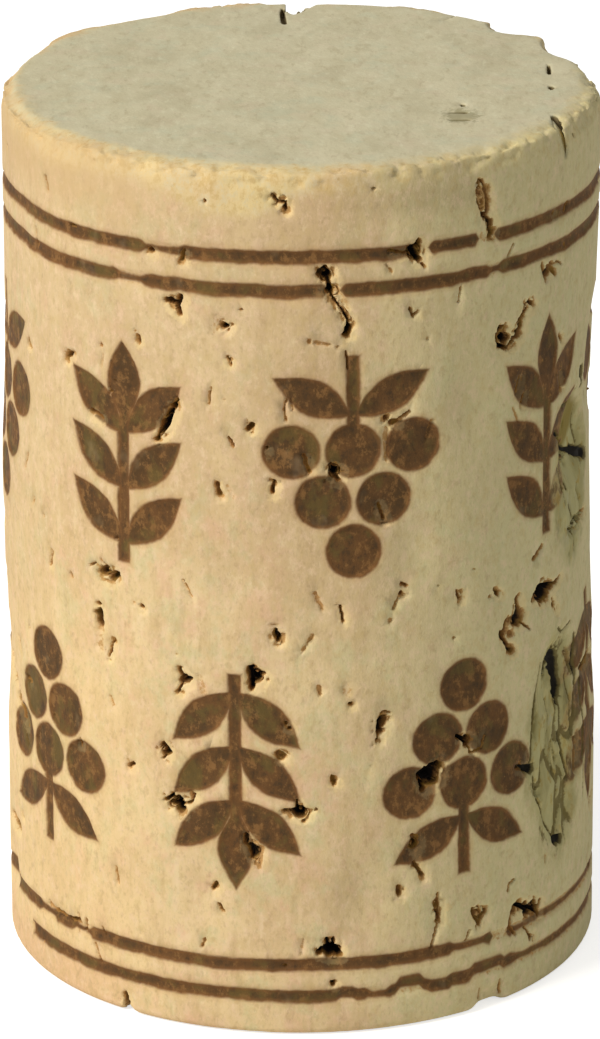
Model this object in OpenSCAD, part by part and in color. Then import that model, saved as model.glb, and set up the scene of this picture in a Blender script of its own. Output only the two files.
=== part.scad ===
// Natural wine cork: a straight cylinder punched from cork oak bark along the
// trunk. The bark's pores, the lenticels, are channels that cross the trunk, so
// they open as dots on the front and back and as streaks on the left and right.
// Two line pairs and two rows of vine motifs are burnt in round the side. The
// rims are worn and chipped, and the right side keeps a flaw of rough bark.
// Angles run round the side from the front, which is -Y, towards +X.

/* [Body] */
// Diameter of the cork
cork_d = 25; // [23:0.5:28]
// Length of the cork
cork_h = 37.5; // [36:0.5:50]
// Radius of the worn rims
rim_r = 0.4; // [0.2:0.05:0.8]

/* [Burnt lines] */
// Width of a line
line_w = 0.55; // [0.4:0.05:0.8]
// Middle of one line of a pair to the middle of the other
line_pitch = 1.4; // [1:0.1:2]
// Top face to the middle of the top pair's upper line
line_top = 3.65; // [3:0.05:4]
// Bottom face to the middle of the bottom pair's lower line
line_bottom = 1.75; // [1.5:0.05:2.5]
// Angle over which the lowest line is missing, at the left
line_gap = 24; // [6:1:60]
// Depth of everything that is burnt in
burn_depth = 0.16; // [0.1:0.01:0.25]

/* [Burnt motifs] */
// Motifs in each row, bunches and sprigs by turns
motif_count = 8; // [4:2:8]
// Height of a motif
motif_h = 9.5; // [9.2:0.1:11]
// Middle of the lower row to the middle of the upper row
row_pitch = 13.7; // [12.5:0.1:15]
// Middle of the cork down to the middle between the rows
rows_drop = 0.65; // [0:0.05:1]
// Angle of the upper row's first motif
rows_start = 10; // [-45:1:45]
// Width of a stem
stem_w = 0.55; // [0.4:0.05:0.8]
// Length of a leaf
leaf_l = 3.6; // [3:0.1:4]
// Width of a leaf
leaf_w = 1.5; // [1.2:0.1:1.6]
// Angle between a sprig's stem and its side leaves
leaf_splay = 48; // [40:1:60]
// Pairs of side leaves on a sprig
leaf_pairs = 3; // [1:1:3]
// Diameter of a grape
grape_d = 2.3; // [1.8:0.1:2.4]
// Gap between neighbouring grapes
grape_gap = 0.2; // [0.1:0.05:0.3]

/* [Pores] */
// Scale of the width and height of every pore
pore_scale = 1; // [0.7:0.05:1.3]
// Pores scattered over the back
back_pores = 18; // [0:1:30]
// Streaks on each of the two sides
side_streaks = 7; // [0:1:12]

/* [Hidden] */
$fn = 48;

radius = cork_d / 2;
mid_z = cork_h / 2;
// How far cutters reach past the surface that they cut
over = 1;

RIM_SIDES = 16;
LEAF_STEPS = 4;
GRAPE_SIDES = 8;
GRAPE_ROWS = 3;
PORE_SIDES = 7;
// Size of a pore's floor over the size of its mouth
PORE_FLOOR = 0.5;
BALL_SIDES = 32;

burnt_r = radius - burn_depth;
upper_row_z = mid_z - rows_drop + row_pitch / 2;
lower_row_z = upper_row_z - row_pitch;
motif_step = 360 / motif_count;
// The top pair of side leaves grows a little below the end leaf
leaf_top = motif_h - leaf_l - 0.4;
// The lowest pair grows a little above the stem's foot
leaf_foot = 0.75;
leaf_pitch = (leaf_top - leaf_foot) / max(leaf_pairs - 1, 1);
grape_pitch = grape_d + grape_gap;
grape_rise = grape_pitch * sin(60);
grapes_h = grape_d + (GRAPE_ROWS - 1) * grape_rise;
bunch_splay = 62;

// The lists of pores and hollows are drawn for a cork this tall, and their
// heights above the bottom face grow and shrink with the cork's height
DRAWN_H = 37.5;

// Pores of the front: [angle, height, width, height of the pore, tilt, depth]. A
// tilt above 0 leans the pore's upper end to the left.
PORES = [
    // Above the motifs
    [-3, 36.3, 0.6, 0.5, 40, 0.6], [36, 35.6, 0.6, 1.8, 12, 0.8],
    [38.5, 34.3, 0.5, 0.9, -35, 1], [22, 33.8, 1.2, 1, 45, 1.2],
    [5, 33.1, 0.9, 0.9, 30, 1], [6.5, 32.4, 0.8, 0.7, 20, 0.8],
    [8.5, 31.5, 0.35, 2, 30, 1.2], [-24, 31.7, 0.9, 0.7, -60, 0.7],
    [-14, 30.9, 0.7, 0.6, 0, 0.7], [55, 31.5, 0.9, 0.9, 0, 0.4],
    // Among the upper motifs
    [47.5, 30.1, 0.4, 2, -50, 0.8], [42.5, 29.3, 0.9, 0.9, -50, 1],
    [-63.5, 28, 0.9, 0.7, -80, 0.4], [-26, 26.5, 0.5, 2.6, -28, 1],
    [18, 26.7, 1.2, 0.5, 10, 0.4], [6.5, 24.8, 0.9, 0.9, 20, 1.1],
    [66, 23, 0.8, 3.8, 42, 1.6],
    // Between the two rows of motifs
    [-40, 19.5, 1.2, 0.8, 20, 0.7], [-41.5, 17.5, 0.45, 1.2, 0, 1.2],
    [-4.5, 17.7, 0.5, 1, 15, 0.7], [54.5, 17.6, 1.6, 1.2, 15, 1.4],
    [46, 17.1, 0.8, 1.7, -15, 0.5],
    // Among the lower motifs
    [-8.5, 15.9, 1.1, 1, 30, 1.2], [-22.5, 15.5, 0.8, 0.7, 20, 0.8],
    [15.5, 13.8, 0.6, 1.3, -30, 0.5], [-4, 12.5, 0.9, 0.9, 0, 0.4],
    [-26.5, 12.2, 0.9, 0.7, 0, 0.8], [33.5, 12.3, 0.9, 0.9, 20, 0.7],
    [25.5, 11.1, 1.5, 1.6, 0, 1.5], [-24.5, 10, 1.2, 0.8, 30, 1.1],
    [-0.5, 10, 1, 0.9, 0, 1], [-67, 12.9, 0.6, 1.2, 80, 0.4],
    [-9, 8.2, 0.9, 1.3, 20, 0.7], [22, 8.2, 0.8, 0.9, 20, 0.7],
    // Below the motifs
    [27, 5, 0.4, 2.4, 5, 0.7], [36, 4.4, 0.8, 1.3, 25, 0.8],
    [50.5, 3.7, 1.3, 0.9, 20, 1.2], [45.5, 4, 0.8, 1, -40, 0.4],
    [5.5, 3.8, 1.1, 1, 0, 1.3], [-36.5, 0, 0.5, 1.8, 0, 1],
    // Slits in the rough bark of the flaw at the right
    [57.5, 14, 0.9, 2.4, 15, 1.4], [62, 10, 0.5, 3.6, 15, 0.9],
    [52, 11.8, 0.35, 2.6, -15, 0.5], [67, 13.8, 0.5, 2.6, 25, 0.8],
    [59.5, 6.3, 0.5, 1.2, -35, 0.8], [70, 9.2, 0.5, 3.4, 0, 0.7]
];

// Shallow hollows in the side, and chips out of the top rim at the back right:
// [angle, height, radius of the ball that fits it, depth]
HOLLOWS = [
    [61, 13.3, 8, 0.4], [61, 10.3, 8, 0.4], [61, 7.6, 6, 0.3],
    [69, 23.4, 5, 0.55], [84, 25.8, 14, 0.4], [-84, 14.2, 14, 0.25],
    [-80, 3.4, 4, 0.3],
    [131, 38.1, 1.7, 1.5], [112, 38.1, 3.2, 1.3], [99, 37.9, 2.6, 0.7]
];

// Pits in the top face: [x, y, width, length, tilt, depth]
TOP_PITS = [
    [6.5, -4.5, 1.3, 0.4, 0, 0.4], [6.5, -5.5, 1.3, 0.35, 0, 0.4],
    [6.7, -3.5, 0.25, 0.8, 0, 0.3], [10.4, -1.2, 0.35, 1, 0, 0.9],
    [10.4, 1.4, 0.25, 4.6, 0, 0.5], [10.5, -5.9, 0.7, 2.2, 15, 1.4],
    [-0.6, 9.6, 0.35, 4.4, 3, 1]
];

// Streaks in the bottom face, along the channels
BOTTOM_PITS = [
    [-5.5, 2, 0.4, 3.4, 0, 0.6], [3.5, -5, 0.5, 2, 0, 0.8],
    [7.5, 4, 0.35, 4, 0, 0.6], [-8.5, -3, 0.6, 1.6, 0, 0.9]
];

// A notch where the top rim has split, seen from above with the side at y = 0
NOTCH = [
    [-0.8, over], [-0.5, -0.6], [-0.5, -1.6], [-0.2, -2.1], [0.3, -1.6],
    [1.2, -0.3], [2, over]
];
// Angle at which the notch runs out of the side, and how far down it gets
notch_lean = 35;
notch_drop = -min([for (p = NOTCH) p[1]]) / tan(notch_lean);

// The part of a number after its point, which scatters a running index
function frac(v) = v - floor(v);
// Place of a height in the lists on this cork
function stretched(z) = z * cork_h / DRAWN_H;

function pore_ray(i, seed) = 0.8 + 0.2 * sin(137 * i + 61 * seed);
function pore_outline(w, h, seed) = [
    for (i = [0:PORE_SIDES - 1])
        let (turn = 360 * i / PORE_SIDES, ray = pore_ray(i, seed) * pore_scale)
            [w / 2 * ray * cos(turn), h / 2 * ray * sin(turn)]
];

// The cork before anything is cut into it, with both rims rounded
module blank() {
    rotate_extrude() {
        translate([0, rim_r])
            square([radius, cork_h - 2 * rim_r]);
        square([radius - rim_r, cork_h]);
        for (z = [rim_r, cork_h - rim_r])
            translate([radius - rim_r, z])
                circle(rim_r, $fn = RIM_SIDES);
    }
}

// A ring cutter that sinks one line into the side
module burnt_line(z, from = 0, sweep = 360) {
    rotate([0, 0, from])
        rotate_extrude(angle = sweep)
            translate([burnt_r, z - line_w / 2])
                square([burn_depth + over, line_w]);
}

module burnt_lines() {
    burnt_line(cork_h - line_top);
    burnt_line(cork_h - line_top - line_pitch);
    burnt_line(line_bottom + line_pitch);
    // The lowest line starts 66 degrees left of the front
    burnt_line(line_bottom, from = -66 - 90, sweep = 360 - line_gap);
}

// A pointed leaf that grows from the origin along +Y
module leaf() {
    right = [
        for (i = [0:LEAF_STEPS])
            [leaf_w / 2 * sin(180 * i / LEAF_STEPS), leaf_l * i / LEAF_STEPS]
    ];
    left = [for (i = [LEAF_STEPS - 1:-1:1]) [-right[i][0], right[i][1]]];
    polygon(concat(right, left));
}

module leaf_pair(splay) {
    for (side = [-1, 1])
        rotate(side * splay)
            leaf();
}

// A stem with side leaves in pairs and one leaf at its tip
module sprig() {
    translate([-stem_w / 2, 0])
        square([stem_w, motif_h - leaf_l / 2]);
    translate([0, motif_h - leaf_l])
        leaf();
    for (i = [0:leaf_pairs - 1])
        translate([0, leaf_top - i * leaf_pitch])
            leaf_pair(leaf_splay);
}

// Six grapes in a hanging triangle, under a stem with two leaves
module bunch() {
    for (row = [0:GRAPE_ROWS - 1], i = [0:row])
        translate([(i - row / 2) * grape_pitch, grape_d / 2 + row * grape_rise])
            circle(d = grape_d, $fn = GRAPE_SIDES);
    translate([-stem_w / 2, grapes_h - stem_w])
        square([stem_w, motif_h - grapes_h + stem_w]);
    translate([0, grapes_h + stem_w / 2])
        leaf_pair(bunch_splay);
}

// One row of motifs as radial blocks that pass through the side
module motif_row(z, start, turned) {
    for (i = [0:motif_count - 1])
        rotate([0, 0, start + i * motif_step])
            translate([0, over - radius, z])
                rotate([90, turned, 0])
                    linear_extrude(2 * over)
                        translate([0, -motif_h / 2])
                            if (i % 2 == 0) bunch();
                            else sprig();
}

// The motifs cut to an even depth below the round side
module burnt_motifs() {
    intersection() {
        union() {
            motif_row(upper_row_z, rows_start, 0);
            motif_row(lower_row_z, rows_start + motif_step / 2, 180);
        }
        rotate_extrude()
            translate([burnt_r, 0])
                square([burn_depth + over, cork_h]);
    }
}

// A pit with a torn outline that narrows from its mouth in the side to its floor
module pore(angle, z, w, h, tilt, depth, seed) {
    mouth = PORE_FLOOR + (1 - PORE_FLOOR) * (depth + over) / depth;
    rotate([0, 0, angle])
        translate([0, depth - radius, z])
            rotate([90, 0, 0])
                linear_extrude(depth + over, scale = mouth / PORE_FLOOR)
                    scale(PORE_FLOOR)
                        rotate(tilt)
                            polygon(pore_outline(w, h, seed));
}

module listed_pores() {
    for (i = [0:len(PORES) - 1])
        let (p = PORES[i])
            pore(p[0], stretched(p[1]), p[2], p[3], p[4], p[5], i);
}

// Pores over the back, scattered by a rule
module scattered_pores() {
    span = 110;
    low = 5.5;
    for (i = [1:1:back_pores])
        let (
            angle = 180 + span * (frac(0.618 * i + 0.04) - 0.5),
            z = low + (cork_h - 2 * low) * frac(0.755 * i),
            w = 0.5 + 0.7 * frac(0.37 * i),
            h = 0.5 + 1.1 * frac(0.53 * i),
            tilt = 60 * (frac(0.29 * i) - 0.5),
            depth = 0.4 + 0.8 * frac(0.47 * i)
        )
            pore(angle, z, w, h, tilt, depth, i);
}

// Channels that come out lengthwise up one side, scattered by a rule. The round
// side falls away from their flat floor, so they run out at both ends.
module streaks(side) {
    low = 4.6;
    spread = 36;
    for (i = [1:1:side_streaks])
        let (
            angle = side * 90 + spread * (frac(0.43 * i) - 0.5),
            z = low + (cork_h - 2 * low) * frac(0.618 * i + 0.2 * side),
            w = 2.4 + 3.2 * frac(0.71 * i),
            h = 0.6 + 0.5 * frac(0.33 * i),
            tilt = 8 * (frac(0.87 * i) - 0.5)
        )
            pore(angle, z, w, h, tilt, 0.3 + w / 8, i + 2);
}

// A shallow round hollow in the side
module hollow(angle, z, ball_r, depth) {
    rotate([0, 0, angle])
        translate([0, depth - radius - ball_r, z])
            sphere(ball_r, $fn = BALL_SIDES);
}

module hollows() {
    for (p = HOLLOWS)
        hollow(p[0], stretched(p[1]), p[2], p[3]);
}

// A pit in an end face, where up is 1 in the top face and -1 in the bottom
module face_pit(p, z, up, seed) {
    translate([p[0], p[1], up > 0 ? z - p[5] : z - over])
        linear_extrude(p[5] + over)
            rotate(p[4])
                polygon(pore_outline(p[2], p[3], seed));
}

module face_pits() {
    for (i = [0:len(TOP_PITS) - 1])
        face_pit(TOP_PITS[i], cork_h, 1, i + 5);
    for (i = [0:len(BOTTOM_PITS) - 1])
        face_pit(BOTTOM_PITS[i], 0, -1, i + 9);
    translate([0, radius, cork_h])
        rotate([notch_lean, 0, 0])
            translate([0, 0, -notch_drop - 2 * over])
                linear_extrude(notch_drop + 4 * over)
                    polygon(NOTCH);
}

module cork() {
    difference() {
        color("burlywood") blank();
        color("saddlebrown") {
            burnt_lines();
            burnt_motifs();
        }
        color("sienna") {
            listed_pores();
            scattered_pores();
            streaks(1);
            streaks(-1);
            face_pits();
        }
        color("tan") hollows();
    }
}

cork();
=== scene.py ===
"""A used natural wine cork on a pale floor. The bark's skin is a fine copy of the CAD solid, worn
and pitted inward only, with a procedural bark material and the marks that are burnt into it."""

import math

import bmesh
import bpy
import numpy as np
from mathutils import Matrix, Vector


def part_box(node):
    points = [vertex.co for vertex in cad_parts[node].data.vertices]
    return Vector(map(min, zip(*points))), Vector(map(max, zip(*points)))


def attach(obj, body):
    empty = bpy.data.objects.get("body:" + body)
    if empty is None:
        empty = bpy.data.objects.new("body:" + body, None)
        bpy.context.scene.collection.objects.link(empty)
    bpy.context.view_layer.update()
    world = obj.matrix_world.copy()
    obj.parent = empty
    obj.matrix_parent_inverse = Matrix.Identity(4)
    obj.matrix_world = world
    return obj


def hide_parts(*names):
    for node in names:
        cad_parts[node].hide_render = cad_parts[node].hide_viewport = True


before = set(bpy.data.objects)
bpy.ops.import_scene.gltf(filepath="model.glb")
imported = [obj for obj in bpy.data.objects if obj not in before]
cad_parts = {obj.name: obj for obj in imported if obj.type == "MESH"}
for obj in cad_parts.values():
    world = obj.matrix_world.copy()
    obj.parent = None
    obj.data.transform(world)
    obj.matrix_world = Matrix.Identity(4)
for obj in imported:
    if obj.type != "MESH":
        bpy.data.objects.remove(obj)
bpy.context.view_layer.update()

MM = 0.001
low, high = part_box("cork")
RADIUS = (high.x - low.x) / 2 / MM
HEIGHT = (high.z - low.z) / MM
MIDDLE = HEIGHT / 2

# ---------------------------------------------------------------- burnt marks, in mm, as in part.scad
LINE_W = 0.55
LINE_PITCH = 1.4
LINE_TOP = 3.65
LINE_BOTTOM = 1.75
LINE_START = -66.0
LINE_GAP = 24.0
MOTIF_COUNT = 8
MOTIF_H = 9.5
ROW_PITCH = 13.7
ROWS_DROP = 0.65
ROWS_START = 10.0
STEM_W = 0.55
LEAF_L = 3.6
LEAF_W = 1.5
LEAF_SPLAY = 48.0
LEAF_PAIRS = 3
LEAF_TUCK = 0.4
LEAF_FOOT = 0.75
GRAPE_D = 2.3
GRAPE_GAP = 0.2
BUNCH_SPLAY = 62.0
# Where the lowest burnt line strays, as (first angle, last angle, rise)
LINE_STRAYS = [
    (7, 10, 0.15), (13, 17, -0.1), (18.5, 23.5, 0.28), (25, 29.5, -0.12), (34.5, 42, 0.2), (43, 47, 0.06),
]
# Where each burnt line thins, from the top down, as (first angle, last angle, share of its width)
LINE_FADES = [
    [(-30, -22, 0.45), (23, 25, 1.2), (35.5, 40, 1.2)],
    [(-36, -30, 0.4), (5, 8, 0.9), (38, 41, 0.5)],
    [
        (-62, -56, 0.4), (-50, -45, 0.6), (30, 38, 0.4), (39.5, 43.5, 1.2),
        (44, 76, 0.2), (45, 90, 0.15), (46, 104, 0.1),
    ],
    [(12.5, 16.5, 0.35), (45, 72, 0.15), (46, 86, 0.15), (47, 100, 0.1)],
]

# ---------------------------------------------------------------- skin, in mm
# The skin's fine copy is made of voxels this large, and thinned out to this many triangles
VOXEL = 0.08
SKIN_TRIANGLES = 194000
# Cells of the unrolled side, on which the surroundings of pores are worked out
GRID = 0.1
RNG = np.random.default_rng(11)
# Radius of the CAD solid's worn rims
RIM_R = 0.4
# Share of the burnt marks' depth that the skin keeps
BURN_KEPT = 0.45
# Share of the crevices' depth that is cut into the skin. The rest is only colour, dark in part as painted
# shade.
CREVICES_CUT = 0.4
# First seeds of the tears scattered at random and of the crevices. A listed tear's is its index.
RANDOM_SEED = 300
CREVICE_SEED = 200
# Rough bark in the skin's shape, as (angle, height, reach in degrees, reach in mm, core's share)
ROUGH_SHAPES = [(61, 10.3, 12, 5, 0.75), (68, 22.8, 9, 2.6, 0.7)]
# The same in its colour, as (angle, height, reach in degrees, reach in mm)
ROUGH_COLOURS = [(60, 10.5, 11, 5), (68, 21.6, 11, 3.6)]
# How far the bark has shrunk in on each side as (heights, depths)
RIGHT_INSET = (
    (0, 10, 12, 14, 17, 20, 23, 26, 30, 33, HEIGHT),
    (0, 0, 0.1, 0.05, 0.2, 0.25, 0.3, 0.2, 0.1, 0, 0),
)
LEFT_INSET = (
    (0, 10, 12, 14, 21, 25, 30, 35, HEIGHT),
    (0, 0, 0.12, 0.05, 0, 0.1, 0.18, 0.26, 0.26),
)
# Where crumbs fill a pore, as (angle, height, reach, share of its depth that is left)
CRUMBS = [
    (57.6, 36, 1.5, 0.15), (60, 36.3, 1, 0), (176, 36.9, 1.2, 0.25), (37, 35.6, 0.7, 0.4),
    (8.2, 31.6, 0.6, 0.25), (6.8, 32.1, 0.5, 0.35), (-24, 31.7, 0.7, 0.3), (-14, 31, 0.4, 0.5),
    (-2.8, 36.1, 0.6, 0.35), (36.4, 4.3, 0.7, 0.5), (24.8, 11.2, 0.4, 0.7),
]
# Crumbs also half fill the split in the rim at the back, as (x, y, reach across, reach along)
SPLIT_CRUMBS = (-0.6, 9.6, 0.9, 2.8)
# Broad hollows in the CAD solid's side, as (angle, height, radius, depth)
HOLLOWS = [
    (61, 13.3, 8, 0.4), (61, 10.3, 8, 0.4), (61, 7.6, 6, 0.3), (69, 23.4, 5, 0.55), (84, 25.8, 14, 0.4),
    (-84, 14.2, 14, 0.25), (-80, 3.4, 4, 0.3),
]
# Bites out of its top rim, likewise
RIM_BITES = [(131, 38.1, 1.7, 1.5), (112, 38.1, 3.2, 1.3), (99, 37.9, 2.6, 0.7)]
# Shallow dips, as (angle, height)
DIPS = [(-30, 28), (-12, 20), (22, 21), (34, 27), (-20, 6), (12, 6), (48, 13), (-45, 15)]
# A chip out of the bottom rim, as (angle, reach in degrees, height, depth)
CHIP = (39, 3.4, 0.8, 0.35)

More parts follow.
